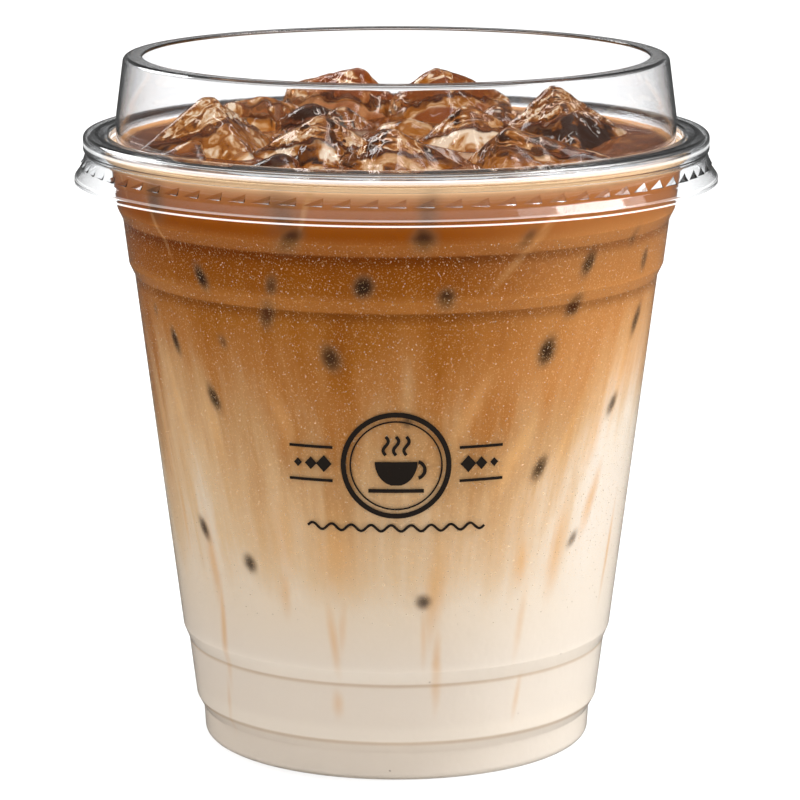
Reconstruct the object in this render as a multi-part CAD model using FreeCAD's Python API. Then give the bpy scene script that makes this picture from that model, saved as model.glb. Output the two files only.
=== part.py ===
"""An iced spanish latte in its clear cup: milk, blend and coffee in layers, ice standing out of them, and a
clear open-topped lid pressed over the cup's rolled rim.

Millimetres, +Z up. The origin is the centre of the circle that the cup stands on.
Outlines are turned about the Z axis, so a point of an outline is (radius, height, corner radius).
Azimuths are measured from +X towards +Y, so that the front of the drink is at -90 degrees.
"""
import FreeCAD, Part
import math
import os
from collections import namedtuple
from itertools import takewhile

Vector = FreeCAD.Vector

# ---- cup: clear plastic, one even wall -------------------------------------------------------------------
cup_height = 99.4           # floor to the top of the rolled rim
cup_wall = 0.5
rim_radius = 49.8           # outside of the rolled rim
rim_width = 3.0             # outside of the rim to the mouth
rim_drop = 2.5              # height of the rolled part
rim_round = 0.8             # under the roll
seat_ledge = 0.7            # how far the neck stands in below the straight mouth
seat_slope = 1.2            # height of the ledge
neck_height = 11.4          # top of the neck step up to the rim's top
band_height = 7.2           # plain band between the two upper steps
upper_step_rise = 1.85      # height of each of the two upper steps
upper_step_jump = 0.9       # and how far each widens the cup
foot_radius = 31.7          # outside of the foot at the floor
foot_band = 4.7             # straight band round the foot
foot_flare = 0.3            # how much wider the foot is at the top of that band
base_step_rise = 2.1
base_step_jump = 1.15
lower_band = 9.6            # band between the base step and the lower step
lower_step_rise = 2.2
lower_step_jump = 0.9
step_round = 0.7            # soft corners of every step
foot_round = 1.3            # outer edge of the foot
base_recess = 2.5           # the middle of the base is pushed up by this
recess_radius = 27.0
recess_slope = 2.6          # width of the slope round the recess

# ---- lid: clear plastic, thinner than the cup, open in the middle ----------------------------------------
lid_wall = 0.45
lid_rise = 12.8             # rim's top to the lid's top
lid_top_radius = 43.9       # outside of the lid's top edge
flange_width = 3.0          # narrow ring turned in round the opening
lid_top_round = 0.9
lid_turn_height = 3.1       # rim's top up to where the wall turns upright
lid_turn_round = 6.0
plug_depth = 2.35           # how far the lid's plug reaches below the rim's top
plug_clearance = 0.1        # plug to mouth
seat_clearance = 0.5        # the straight mouth runs on below the plug by this
groove_width = 1.05         # open groove between the wall and the shoulder
groove_round = 0.5
brim_clearance = 0.3        # rolled rim to the brim round it
brim_drop = 2.0             # straight part of the brim
waist_drop = 2.7            # rim's top down to the waist that grips under the roll
waist_inset = 0.35
skirt_flare = 0.8           # waist out to the ledge of the skirt
skirt_ledge_drop = 5.1
lip_flare = 1.0             # ledge out to the lip
lip_drop = 6.5
skirt_drop = 7.4            # rim's top down to the skirt's bottom edge
brim_round = 0.75
skirt_round = 0.5

# ---- drink ------------------------------------------------------------------------------------------------
fill_gap = 1.2              # rim's top down to the surface of the drink
milk_height = 35.0          # mean height of the milk
blend_height = 62.0         # mean height of the blend of milk and coffee over it
milk_sides_rise = 7.0       # both climb towards the sides of the cup
blend_sides_rise = 5.0
milk_left_rise = 3.0        # and a little more on the left
blend_left_rise = 2.0
swirl_depth = 1.2           # ripples where the layers meet
swirl_length = 26.0

# ---- ice --------------------------------------------------------------------------------------------------
ice_gap = 0.4               # least distance of a piece to its neighbours, the cup and the lid
ice_round = 2.2             # melted edges and corners

# A piece is a block seen corner up. reach is its highest point's distance from the axis, as a share of the
# surface's radius, and height is how far that point stands out of the drink. sides are its three edges from
# that corner. turn is the azimuth of the first one, and the block then leans by lean towards lean_to.
Ice = namedtuple("Ice", "name reach azimuth height sides turn lean lean_to")
ICE = (
    Ice("ice_front_middle", 0.78, -91, 6.4, (15, 13, 18), 143, 9, 249),
    Ice("ice_front_right", 0.83, -62, 6.4, (17, 13, 20), 131, 21, 232),
    Ice("ice_front_left", 0.64, -114, 7.4, (20, 16, 18), 147, 11, 272),
    Ice("ice_left", 0.73, -155, 8.8, (18, 20, 20), 178, 7, 219),
    Ice("ice_right", 0.57, -2, 8.8, (19, 24, 29), 161, 7, 175),
    Ice("ice_middle_right", 0.30, -33, 6.6, (15, 14, 18), 149, 10, 225),
    Ice("ice_back_middle", 0.67, 103, 8.4, (17, 16, 18), 151, 22, 305),
    Ice("ice_back_right", 0.64, 76, 8.6, (18, 17, 20), 159, 17, 251),
    Ice("ice_back_left", 0.58, 149, 5.4, (10, 12, 17), 169, 38, 291),
    Ice("ice_middle_left", 0.36, 149, 5.0, (14, 12, 14), 156, 22, 260),
    Ice("ice_middle_back", 0.26, 141, 4.6, (12, 12, 13), 164, 18, 285),
    Ice("ice_right_low", 0.41, 21, 5.2, (13, 13, 13), 149, 4, 24),
    Ice("ice_middle", 0.17, 75, 2.4, (12, 12, 13), 149, 36, 269),
    Ice("ice_front_left_chip", 0.85, -147, 2.8, (12, 11, 12), 172, 18, 283),
    Ice("ice_front_chip", 0.84, -118, 2.4, (11, 9, 11), 159, 21, 275),
    Ice("ice_right_back", 0.82, 43, 3.6, (14, 13, 13), 20, 12, 200),
    Ice("ice_centre_left", 0.38, 187, 2.4, (15, 15, 14), 100, 15, 30),
    Ice("ice_centre", 0.14, 255, 2.6, (14, 14, 14), 40, 12, 90),
    Ice("ice_right_front", 0.62, -38, 1.8, (13, 13, 13), 75, 14, 120),
    Ice("ice_right_gap", 0.50, 52, 2.4, (13, 13, 13), 0, 14, 60),
)

# ---- sizes that follow ------------------------------------------------------------------------------------
mouth_radius = rim_radius - rim_width
seat_depth = plug_depth + seat_clearance                # the straight mouth that the lid's plug seals in
neck_radius = mouth_radius - seat_ledge
level = cup_height - fill_gap
plug_radius = mouth_radius - plug_clearance
lid_radius = plug_radius - lid_wall - groove_width      # outside of the lid's wall where it stands upright
surface_radius = lid_radius - lid_wall
plug_bottom = cup_height - plug_depth
brim_radius = rim_radius + brim_clearance + lid_wall


# ---- outlines ---------------------------------------------------------------------------------------------
def shifted(outline, distance):
    """The open outline moved to its left by distance, with its corners kept concentric."""
    normals = []
    for (r0, z0, _), (r1, z1, _) in zip(outline, outline[1:]):
        length = math.hypot(r1 - r0, z1 - z0)
        normals.append(((z0 - z1) / length, (r1 - r0) / length))
    moved = []
    for index, (r, z, corner) in enumerate(outline):
        before = normals[max(index - 1, 0)]
        after = normals[min(index, len(normals) - 1)]
        spread = 1.0 + before[0] * after[0] + before[1] * after[1]
        left_turn = before[0] * after[1] - before[1] * after[0] > 0.0
        moved.append((
            r + distance * (before[0] + after[0]) / spread,
            z + distance * (before[1] + after[1]) / spread,
            max(corner - distance, 0.0) if left_turn else corner + distance if corner else 0.0,
        ))
    return moved


def outline_edges(outline):
    """Straight edges with an arc at each rounded corner, no longer than its neighbours leave room for."""
    points = [Vector(r, 0, z) for r, z, _ in outline]
    edges = []
    start = points[0]
    for before, corner, after, (_, _, radius) in zip(points, points[1:], points[2:], outline[1:]):
        back = (before - corner).normalize()
        ahead = (after - corner).normalize()
        half_turn = (math.pi - back.getAngle(ahead)) / 2.0
        room = 0.48 * min((before - corner).Length, (after - corner).Length)
        reach = min(radius * math.tan(half_turn), room)
        if reach < 0.01:
            edges.append(Part.LineSegment(start, corner).toShape())
            start = corner
            continue
        radius = reach / math.tan(half_turn)
        inward = (back + ahead).normalize()
        middle = corner + inward * (radius / math.cos(half_turn) - radius)
        enter, leave = corner + back * reach, corner + ahead * reach
        edges.append(Part.LineSegment(start, enter).toShape())
        edges.append(Part.Arc(enter, middle, leave).toShape())
        start = leave
    edges.append(Part.LineSegment(start, points[-1]).toShape())
    return edges


def turned(edges):
    """The solid swept by a closed ring of edges about the Z axis."""
    face = Part.Face(Part.Wire(Part.__sortEdges__(edges)))
    return face.revolve(Vector(0, 0, 0), Vector(0, 0, 1), 360)


def turned_wall(outline, thickness):
    """A wall whose one face is the outline, and whose other is thickness to the left of it."""
    other = shifted(outline, thickness)
    ends = [
        Part.LineSegment(Vector(a[0], 0, a[1]), Vector(b[0], 0, b[1])).toShape()
        for a, b in ((outline[0], other[0]), (outline[-1], other[-1]))
    ]
    return turned(outline_edges(outline) + outline_edges(other) + ends)


# ---- cup --------------------------------------------------------------------------------------------------
def cup_outline():
    """The cup's outside from the middle of its base up to the end of the rolled rim."""
    neck_bottom = cup_height - neck_height
    band_top = neck_bottom - upper_step_rise
    band_bottom = band_top - band_height
    side_top = band_bottom - upper_step_rise
    base_band = foot_band + base_step_rise
    step_bottom = base_band + lower_band
    side_bottom = step_bottom + lower_step_rise
    neck_top = cup_height - seat_depth - seat_slope
    jumps = foot_flare + base_step_jump + lower_step_jump + 2 * upper_step_jump
    plain = lower_band + (side_top - side_bottom) + band_height + (neck_top - neck_bottom)
    taper = (neck_radius - foot_radius - jumps) / plain

    outline = [
        (0.0, base_recess, 0.0),
        (recess_radius, base_recess, step_round),
        (recess_radius + recess_slope, 0.0, step_round),
        (foot_radius, 0.0, foot_round),
    ]
    radius = foot_radius + foot_flare
    outline.append((radius, foot_band, step_round))
    for bottom, top, jump in (
        (base_band, step_bottom, base_step_jump),
        (side_bottom, side_top, lower_step_jump),
        (band_bottom, band_top, upper_step_jump),
        (neck_bottom, neck_top, upper_step_jump),
    ):
        radius += jump
        outline.append((radius, bottom, step_round))
        radius += taper * (top - bottom)
        outline.append((radius, top, step_round))
    roll = rim_radius - cup_wall
    under_rim = cup_height - cup_wall
    outline += [
        (mouth_radius + cup_wall, cup_height - seat_depth, step_round),
        (mouth_radius + cup_wall, under_rim, rim_round),
        (roll, under_rim, rim_round),
        (roll, cup_height - rim_drop, 0.0),
    ]
    return outline


def inner_walls(gap):
    """The cup's inner face from its middle up to the lid's plug, gap clear of both."""
    return list(takewhile(lambda point: point[1] < plug_bottom - gap, shifted(cup_outline(), cup_wall + gap)))


def turned_solid(side):
    """The solid between the axis and an outline that starts and ends on it."""
    axis = Part.LineSegment(Vector(0, 0, side[0][1]), Vector(0, 0, side[-1][1])).toShape()
    return turned(outline_edges(side) + [axis])


def drink_room():
    """The cup's inside up to the drink's surface, under and inside the lid's plug."""
    return turned_solid(inner_walls(0.0) + [
        (mouth_radius, plug_bottom, 0.0),
        (surface_radius, plug_bottom, 0.0),
        (surface_radius, level, 0.0),
        (0.0, level, 0.0),
    ])


def ice_room():
    """Where ice may be: clear of the cup, and inside the lid's wall right up to its top."""
    side = inner_walls(ice_gap)
    radius = surface_radius - ice_gap
    return turned_solid(side + [
        (radius, side[-1][1], 0.0),
        (radius, cup_height + lid_rise, 0.0),
        (0.0, cup_height + lid_rise, 0.0),
    ])


# ---- lid --------------------------------------------------------------------------------------------------
def lid_outline():
    """The lid's outside from the edge of the opening, down the wall and groove, and out to the skirt."""
    groove_bottom = plug_bottom + lid_wall
    shoulder = cup_height + lid_wall
    top = cup_height + lid_rise
    waist_radius = brim_radius - waist_inset
    return [
        (lid_top_radius - flange_width, top, 0.0),
        (lid_top_radius, top, lid_top_round),
        (lid_radius, cup_height + lid_turn_height, lid_turn_round),
        (lid_radius, groove_bottom, groove_round),
        (plug_radius - lid_wall, groove_bottom, groove_round),
        (plug_radius - lid_wall, shoulder, groove_round),
        (brim_radius, shoulder, brim_round),
        (brim_radius, cup_height - brim_drop, skirt_round),
        (waist_radius, cup_height - waist_drop, skirt_round),
        (waist_radius + skirt_flare, cup_height - skirt_ledge_drop, skirt_round),
        (waist_radius + skirt_flare + lip_flare, cup_height - lip_drop, skirt_round),
        (waist_radius + skirt_flare + lip_flare, cup_height - skirt_drop, 0.0),
    ]


# ---- drink ------------------------------------------------------------------------------------------------
def above(height, sides_rise, left_rise):
    """Everything over the rippled face where one layer of the drink meets the next."""
    span = mouth_radius * 1.2
    steps = 12
    rows = []
    for i in range(steps + 1):
        x = span * (2.0 * i / steps - 1.0)
        row = []
        for j in range(steps + 1):
            y = span * (2.0 * j / steps - 1.0)
            climb = sides_rise * (x * x - y * y) / (2.0 * mouth_radius ** 2) - left_rise * x / mouth_radius
            ripple = swirl_depth * math.sin(2 * math.pi * x / swirl_length) * math.cos(2 * math.pi * y / swirl_length)
            row.append(Vector(x, y, height + climb + ripple))
        rows.append(row)
    surface = Part.BSplineSurface()
    surface.interpolate(rows)
    return surface.toShape().extrude(Vector(0, 0, 2 * cup_height))


# ---- ice --------------------------------------------------------------------------------------------------
def edge_directions(piece):
    """Unit vectors down the three edges from the block's top corner."""
    fall = math.atan(1.0 / math.sqrt(2.0))
    lean_to = math.radians(piece.lean_to)
    lean = FreeCAD.Rotation(Vector(-math.sin(lean_to), math.cos(lean_to), 0), piece.lean)
    directions = []
    for third in range(3):
        azimuth = math.radians(piece.turn + 120 * third)
        level_part = math.cos(fall)
        direction = Vector(level_part * math.cos(azimuth), level_part * math.sin(azimuth), -math.sin(fall))
        directions.append(lean.multVec(direction))
    return directions


def block(piece, grown):
    """The rounded block of a piece of ice, standing out of the drink, larger by grown on every side."""
    first, second, third = edge_directions(piece)
    length, height, width = (side + 2 * grown for side in piece.sides)
    solid = Part.makeBox(length, width, height, Vector(-grown, -grown, -grown))
    solid = solid.makeFillet(ice_round + grown, solid.Edges)
    azimuth = math.radians(piece.azimuth)
    reach = piece.reach * surface_radius
    total = first + second + third
    corner = Vector(
        reach * math.cos(azimuth) - ice_round * total.x,
        reach * math.sin(azimuth) - ice_round * total.y,
        level + piece.height - ice_round * (1.0 + total.z),
    )
    solid.Placement = FreeCAD.Placement(corner, FreeCAD.Rotation(first, third, second, "XYZ"))
    return solid


def largest(shape):
    """The largest solid of a shape, without its seams."""
    return max(shape.Solids, key=lambda solid: solid.Volume).removeSplitter()


def ice_pieces():
    """Every piece, inside the cup and lid and clear of the pieces before it."""
    space = ice_room()
    done = []
    pieces = {}
    for piece in ICE:
        solid = block(piece, 0.0).common(space)
        for neighbour in done:
            if solid.BoundBox.intersect(neighbour.BoundBox):
                solid = solid.cut(neighbour)
        pieces[piece.name] = largest(solid)
        done.append(block(piece, ice_gap))
    return pieces


# ---- the whole --------------------------------------------------------------------------------------------
def nodes():
    """Every node's solid by its name."""
    parts = {
        "cup": turned_wall(cup_outline(), cup_wall),
        "lid": turned_wall(lid_outline(), -lid_wall),
    }
    ice = ice_pieces()
    drink = drink_room()
    over_milk = above(milk_height, milk_sides_rise, milk_left_rise)
    over_blend = above(blend_height, blend_sides_rise, blend_left_rise)
    parts["milk_layer"] = largest(drink.cut(over_milk))
    parts["blend_layer"] = largest(drink.common(over_milk).cut(over_blend))
    parts["coffee_layer"] = largest(drink.common(over_blend).cut(Part.makeCompound(list(ice.values()))))
    parts.update(ice)
    return parts


os.makedirs("parts", exist_ok=True)
for name, shape in nodes().items():
    print(name, "volume", round(shape.Volume), "solids", len(shape.Solids), "valid", shape.isValid())
    shape.exportStep(f"parts/{name}.step")
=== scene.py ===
"""An iced latte in its clear lidded cup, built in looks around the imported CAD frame.

Metres, +Z up, the front at -Y. Every piece is turned, cut or grown from the named sizes below, so that a size
changed in the sidebar and built again keeps cup, lid, drink and print together.
"""

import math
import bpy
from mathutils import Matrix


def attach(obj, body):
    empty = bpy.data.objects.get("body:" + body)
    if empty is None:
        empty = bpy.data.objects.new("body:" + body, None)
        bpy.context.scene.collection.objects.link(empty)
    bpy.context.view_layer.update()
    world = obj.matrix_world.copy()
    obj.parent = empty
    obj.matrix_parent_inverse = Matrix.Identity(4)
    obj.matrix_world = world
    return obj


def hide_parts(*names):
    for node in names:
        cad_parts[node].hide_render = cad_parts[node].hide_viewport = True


bl_info = {
    "name": "Iced Latte",
    "version": (1, 0, 0),
    "blender": (4, 5, 0),
    "location": "View3D > Sidebar > Drink",
    "description": "Builds an iced latte in a clear lidded cup around its packed CAD frame",
    "category": "Object",
}

from itertools import combinations, takewhile

import bmesh
import bpy
from bpy.props import FloatProperty, FloatVectorProperty, IntProperty, PointerProperty
from bpy.types import Operator, Panel, PropertyGroup
from mathutils import Matrix, Vector, noise

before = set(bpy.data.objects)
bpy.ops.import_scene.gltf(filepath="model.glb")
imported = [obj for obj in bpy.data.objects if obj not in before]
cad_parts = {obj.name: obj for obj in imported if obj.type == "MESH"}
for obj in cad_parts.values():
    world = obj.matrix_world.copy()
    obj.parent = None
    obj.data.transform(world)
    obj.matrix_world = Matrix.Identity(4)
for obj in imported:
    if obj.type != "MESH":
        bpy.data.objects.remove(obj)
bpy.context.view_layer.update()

MM = 0.001
ARC_STEP = math.radians(14)  # corners are sampled at least this finely
SPAN_STEP = 2.5 * MM  # and straight runs this finely
GUARD = 0.12 * MM  # rows this close to a corner keep its shading off the flats
BITE = 0.15 * MM  # how far the drink reaches into the walls that hold it
SUNK = 0.2 * MM  # how far the lock teeth reach into the skirt
TOOTH_LIFT = 0.5 * MM  # and how far they stand over its ledge

WELD = 0.004 * MM  # vertices this close are one
BLACK, WHITE = (0.0, 0.0, 0.0), (1.0, 1.0, 1.0)
PLASTIC_IOR, WATER_IOR, ICE_IOR = 1.5, 1.33, 1.31


# ---- properties ----
def size(name, millimetres, description):
    """A length property, typed in millimetres."""
    return FloatProperty(name=name, description=description, default=millimetres * MM, min=0.0,
                         precision=5, unit="LENGTH", subtype="DISTANCE")


def share(name, value, description, top=1.0):
    """A plain number property."""
    return FloatProperty(name=name, description=description, default=value,
                         min=0.0, max=top, subtype="FACTOR")


def linear(*rgb):
    """The linear colour of a display colour given as 0 to 255."""
    return tuple((c / 255 / 12.92) if c <= 10 else ((c / 255 + 0.055) / 1.055) ** 2.4 for c in rgb)


def tint(name, rgb, description):
    """A colour property, typed as a display colour."""
    return FloatVectorProperty(name=name, description=description, default=linear(*rgb), size=3,
                               min=0.0, max=1.0, subtype="COLOR")


def count(name, value, description):
    """A whole number property."""
    return IntProperty(name=name, description=description, default=value, min=0)


class CupSizes(PropertyGroup):
    height: size("Height", 99.4, "Floor to the top of the rolled rim")
    wall: size("Wall", 0.5, "Thickness of the plastic")
    rim_radius: size("Rim radius", 49.8, "Outside of the rolled rim")
    rim_width: size("Rim width", 3.0, "Outside of the rim to the mouth")
    rim_drop: size("Rim drop", 2.5, "Height of the rolled part")
    rim_round: size("Rim round", 0.8, "Corner radius under the roll")
    seat_depth: size("Seat depth", 2.85, "Straight mouth that the lid's plug seals in")
    seat_ledge: size("Seat ledge", 0.7, "How far the neck stands in below the mouth")
    seat_slope: size("Seat slope", 1.2, "Height of that ledge")
    neck_height: size("Neck height", 11.4, "Rim's top down to the top step")
    band_height: size("Band height", 7.2, "Plain band between the two upper steps")
    upper_rise: size("Upper step rise", 1.85, "Height of each of the two upper steps")
    upper_jump: size("Upper step jump", 0.9, "How far each upper step widens the cup")
    foot_radius: size("Foot radius", 31.7, "Outside of the foot at the floor")
    foot_band: size("Foot band", 4.7, "Straight band round the foot")
    foot_flare: size("Foot flare", 0.3, "How much wider the foot is at the top of its band")
    base_rise: size("Base step rise", 2.1, "Height of the step over the foot")
    base_jump: size("Base step jump", 1.15, "How far it widens the cup")
    lower_band: size("Lower band", 9.6, "Band between the base step and the lower step")
    lower_rise: size("Lower step rise", 2.2, "Height of the lower step")
    lower_jump: size("Lower step jump", 0.9, "How far it widens the cup")
    step_round: size("Step round", 0.7, "Corner radius of every step")
    foot_round: size("Foot round", 1.3, "Outer edge of the foot")
    recess: size("Base recess", 2.5, "How far the middle of the base is pushed up")
    recess_radius: size("Recess radius", 27.0, "Flat middle of the base")
    recess_slope: size("Recess slope", 2.6, "Width of the slope round it")
    segments: count("Segments", 192, "Faces round the cup, lid and drink")
    plastic: tint("Plastic", (252, 253, 254), "Tint of the clear plastic")


class LidSizes(PropertyGroup):
    wall: size("Wall", 0.45, "Thickness of the plastic")
    rise: size("Rise", 12.8, "Cup's rim up to the lid's top")
    top_radius: size("Top radius", 43.9, "Outside of the top edge")
    flange: size("Flange", 3.0, "Ring turned in round the opening")
    top_round: size("Top round", 0.9, "Corner radius of the top edge")
    turn_height: size("Turn height", 3.1, "Rim's top up to where the wall turns upright")
    turn_round: size("Turn round", 6.0, "Radius of that turn")
    plug_depth: size("Plug depth", 2.35, "How far the plug reaches below the rim's top")
    plug_gap: size("Plug gap", 0.1, "Plug to mouth")
    groove_width: size("Groove width", 1.05, "Open groove between wall and shoulder")
    groove_round: size("Groove round", 0.5, "Corner radius of the groove")
    brim_gap: size("Brim gap", 0.3, "Rolled rim to the brim round it")
    brim_drop: size("Brim drop", 2.0, "Straight part of the brim")
    waist_drop: size("Waist drop", 2.7, "Rim's top down to the gripping waist")
    waist_inset: size("Waist inset", 0.35, "How far the waist stands in")
    skirt_flare: size("Skirt flare", 0.8, "Waist out to the ledge of the skirt")
    ledge_drop: size("Ledge drop", 5.1, "Rim's top down to that ledge")
    lip_flare: size("Lip flare", 1.0, "Ledge out to the lip")
    lip_drop: size("Lip drop", 6.5, "Rim's top down to the lip")
    skirt_drop: size("Skirt drop", 7.4, "Rim's top down to the skirt's edge")
    brim_round: size("Brim round", 0.75, "Corner radius of the brim")
    skirt_round: size("Skirt round", 0.5, "Corner radii of the skirt")
    teeth: count("Teeth", 76, "Small lock teeth round the skirt")
    tooth_width: size("Tooth width", 3.1, "Length of a tooth round the skirt")
    tooth_height: size("Tooth height", 1.2, "Height of a tooth")
    tooth_depth: size("Tooth depth", 0.2, "How far a tooth stands out")


class DrinkSizes(PropertyGroup):
    fill_gap: size("Fill gap", 1.2, "Cup's rim down to the surface")
    meniscus: size("Meniscus", 0.5, "How far the surface climbs at the wall")
    meniscus_width: size("Meniscus width", 1.6, "Width of that climb")
    milk: tint("Milk", (222, 210, 196), "Milk at the bottom")
    blend: tint("Blend", (206, 171, 129), "Milk and coffee where they meet")
    coffee: tint("Coffee", (161, 99, 33), "Coffee in the upper half")
    deep: tint("Deep coffee", (131, 66, 5), "Coffee where it is darkest")
    caramel: tint("Caramel", (212, 165, 108), "Streaks that run down into the milk")
    top: tint("Surface", (88, 44, 14), "Drink at its surface")


class IceLook(PropertyGroup):
    grain: size("Grain", 0.55, "Size of the faces of a piece")
    hollow_grain: size("Hollow grain", 0.8, "Size of the faces of its hollow in the drink")
    swell: size("Swell", 0.05, "How far a piece grows past its block")
    lumps: size("Lumps", 0.4, "Height of the melted dents above the drink")
    inset: size("Inset", 0.3, "How far the hollow in the drink stays inside the piece")


class DropSizes(PropertyGroup):
    drops: count("Drops", 19000, "Fine drops of condensation")
    smallest: size("Smallest", 0.06, "Radius of the smallest drops")
    largest: size("Largest", 0.14, "Radius of the largest drops")
    bottom: size("Bottom", 24.0, "Height where the drops begin")
    top: size("Top", 90.0, "Height where they end")
    seed: count("Seed", 7, "Another number lays the drops out anew")


class MarkSizes(PropertyGroup):
    height: size("Height", 53.0, "Height of the badge's middle over the floor")
    badge: size("Badge radius", 8.6, "Outside of the round badge")
    reach: size("Reach", 17.0, "Badge's middle out to the end of each side ornament")
    relief: size("Relief", 0.05, "How far the print stands out of the plastic")
    ink: tint("Ink", (26, 19, 13), "Colour of the print")


class StageLook(PropertyGroup):
    world: share("World", 1.62, "Light from all round", 4.0)
    mirrored: share("Mirrored", 0.09, "Brightness of the floor and whatever is low in reflections", 4.0)
    overhead: share("Overhead", 0.9, "Brightness overhead in reflections", 4.0)
    key: share("Key", 5.2, "Power of the lamp at the right", 100.0)
    glow: share("Key glow", 3.6, "Power of the larger, softer lamp round it", 100.0)
    back: share("Back", 3.0, "Power of the lamp behind at the left", 100.0)
    floor: share("Floor", 0.62, "Share of the floor's white that shadows don't touch")


PIECES = {
    "cup": CupSizes, "lid": LidSizes, "drink": DrinkSizes, "ice": IceLook,
    "drops": DropSizes, "mark": MarkSizes, "stage": StageLook,
}


def sizes(piece):
    """The settings of one piece."""
    return getattr(bpy.context.scene, "latte_" + piece)


# ---- node graphs ----
def joins(operation):
    """A method that joins two values by a math node."""
    return lambda first, second: first.graph.math(operation, first, second)


class Value:
    """An output socket that takes part in sums with numbers and other outputs."""
    __add__, __sub__, __mul__ = joins("ADD"), joins("SUBTRACT"), joins("MULTIPLY")
    __truediv__, __pow__ = joins("DIVIDE"), joins("POWER")

    def __init__(self, graph, socket):
        self.graph, self.socket = graph, socket

    def __rsub__(self, other):
        return self.graph.math("SUBTRACT", other, self)


class Graph:
    """Adds nodes to a tree, each with its settings, values and links at once."""

    def __init__(self, tree):
        self.tree = tree

    def node(self, kind, inputs=None, settings=None, output=0):
        """A new node's output. Settings are made first, because they decide which sockets there are."""
        made = self.tree.nodes.new(kind)
        for name, value in (settings or {}).items():
            setattr(made, name, value)
        for key, value in (inputs or {}).items():
            socket = made.inputs[key]
            if isinstance(value, Value):
                self.tree.links.new(value.socket, socket)
            elif socket.type == "RGBA" and len(value) == 3:
                socket.default_value = (*value, 1.0)
            else:
                socket.default_value = value
        return Value(self, made.outputs[output]) if made.outputs else made

    def math(self, operation, *values):
        return self.node("ShaderNodeMath", dict(enumerate(values)), {"operation": operation})

    def scaled(self, vector, factor):
        """The vector with every part multiplied by a number."""
        return self.node("ShaderNodeVectorMath", {0: vector, 1: (factor,) * 3}, {"operation": "MULTIPLY"})

    def step(self, value, low, high, start=0.0, end=1.0):
        """A soft step of value from start at low to end at high."""
        return self.node("ShaderNodeMapRange", {
            "Value": value, "From Min": low, "From Max": high, "To Min": start, "To Max": end,
        }, {"interpolation_type": "SMOOTHSTEP"})

    def window(self, value, rise, full, fade, end):
        """1 where value lies between full and fade, falling softly to 0 at rise and end."""
        return self.step(value, rise, full) * self.step(value, end, fade)

    def noise(self, vector, scale, detail=2.0, roughness=0.5):
        return self.node("ShaderNodeTexNoise", {
            "Vector": vector, "Scale": scale, "Detail": detail, "Roughness": roughness})

    def mix(self, factor, first, second):
        """Two colours mixed."""
        return self.node("ShaderNodeMix", {0: factor, 6: first, 7: second}, {"data_type": "RGBA"}, 2)

    def laid(self, colour, factor, *rgb):
        """The colour with a display colour laid over it."""
        return self.mix(factor, colour, linear(*rgb))

    def ramp(self, factor, stops):
        """A colour ramp through (position, colour) stops."""
        made = self.node("ShaderNodeValToRGB", {0: factor})
        elements = made.socket.node.color_ramp.elements
        while len(elements) < len(stops):
            elements.new(0.5)
        for element, (position, colour) in zip(elements, stops):
            element.position = position
            element.color = (*colour, 1.0)
        return made

    def outputs(self, kind, names, inputs=None):
        """The named outputs of a new node."""
        made = self.node(kind, inputs).socket.node
        return [Value(self, made.outputs[name]) for name in names]

    def rays(self):
        """(1 for what is seen straight or through something clear, 1 for what is seen in a reflection)."""
        camera, glossy, through, bounces, reflections = self.outputs("ShaderNodeLightPath", (
            "Is Camera Ray", "Is Glossy Ray", "Is Transmission Ray", "Diffuse Depth", "Glossy Depth"))
        direct = 1.0 - self.math("MINIMUM", bounces, 1.0)
        mirror = self.math("MINIMUM", reflections, 1.0)
        seen = self.math("MAXIMUM", camera, through) * direct * (1.0 - mirror)
        return seen, self.math("MAXIMUM", glossy, through) * direct * mirror

    def parts(self, vector):
        """The x, y and z of a vector."""
        return self.outputs("ShaderNodeSeparateXYZ", "XYZ", {0: vector})


class Paint(Graph):
    """A new material and its shader graph."""

    def __init__(self, name):
        self.material = bpy.data.materials.new(name)
        self.material.use_nodes = True
        super().__init__(self.material.node_tree)
        self.tree.nodes.clear()

    def place(self):
        """Position on the piece, in the shared frame, in metres."""
        return self.node("ShaderNodeTexCoord", output=3)

    def shader(self, **values):
        """The Principled shader, with its sockets named with _ for a space."""
        return self.node("ShaderNodeBsdfPrincipled", {
            name.replace("_", " "): value for name, value in values.items()})

    def bump(self, height, strength, distance):
        return self.node("ShaderNodeBump", {
            "Height": height, "Strength": strength, "Distance": distance})

    def finish(self, surface):
        self.node("ShaderNodeOutputMaterial", {"Surface": surface})
        return self.material

    def finish_clear(self, **values):
        """Finishes a see-through material that lamps shine straight through."""
        surface = self.shader(**values)
        shadow = self.outputs("ShaderNodeLightPath", ["Is Shadow Ray"])[0]
        clear = self.node("ShaderNodeBsdfTransparent", {"Color": (0.97, 0.97, 0.97)})
        return self.finish(self.node("ShaderNodeMixShader", {0: shadow, 1: surface, 2: clear}))


def clear_plastic(name, colour, painted_highlights=()):
    """Clear thin plastic, with painted highlights (middle, half height, strength): bands that glow white
    where an edge catches light.
    """
    paint = Paint(name)
    place = paint.place()
    height = paint.parts(place)[2]
    glow = 0.0
    # Painted highlights: each band glows white, standing in for light caught by an edge.
    for middle, half, strength in painted_highlights:
        away = paint.math("ABSOLUTE", height - middle)
        glow = paint.step(away, half, half * 0.3) * strength + glow
    return paint.finish_clear(
        Base_Color=colour, Roughness=0.03, IOR=PLASTIC_IOR, Transmission_Weight=1.0,
        Normal=paint.bump(paint.noise(place, 260.0, 3.0), 0.25, 0.02 * MM),
        Emission_Color=paint.mix(glow, BLACK, WHITE), Emission_Strength=1.0)


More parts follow.
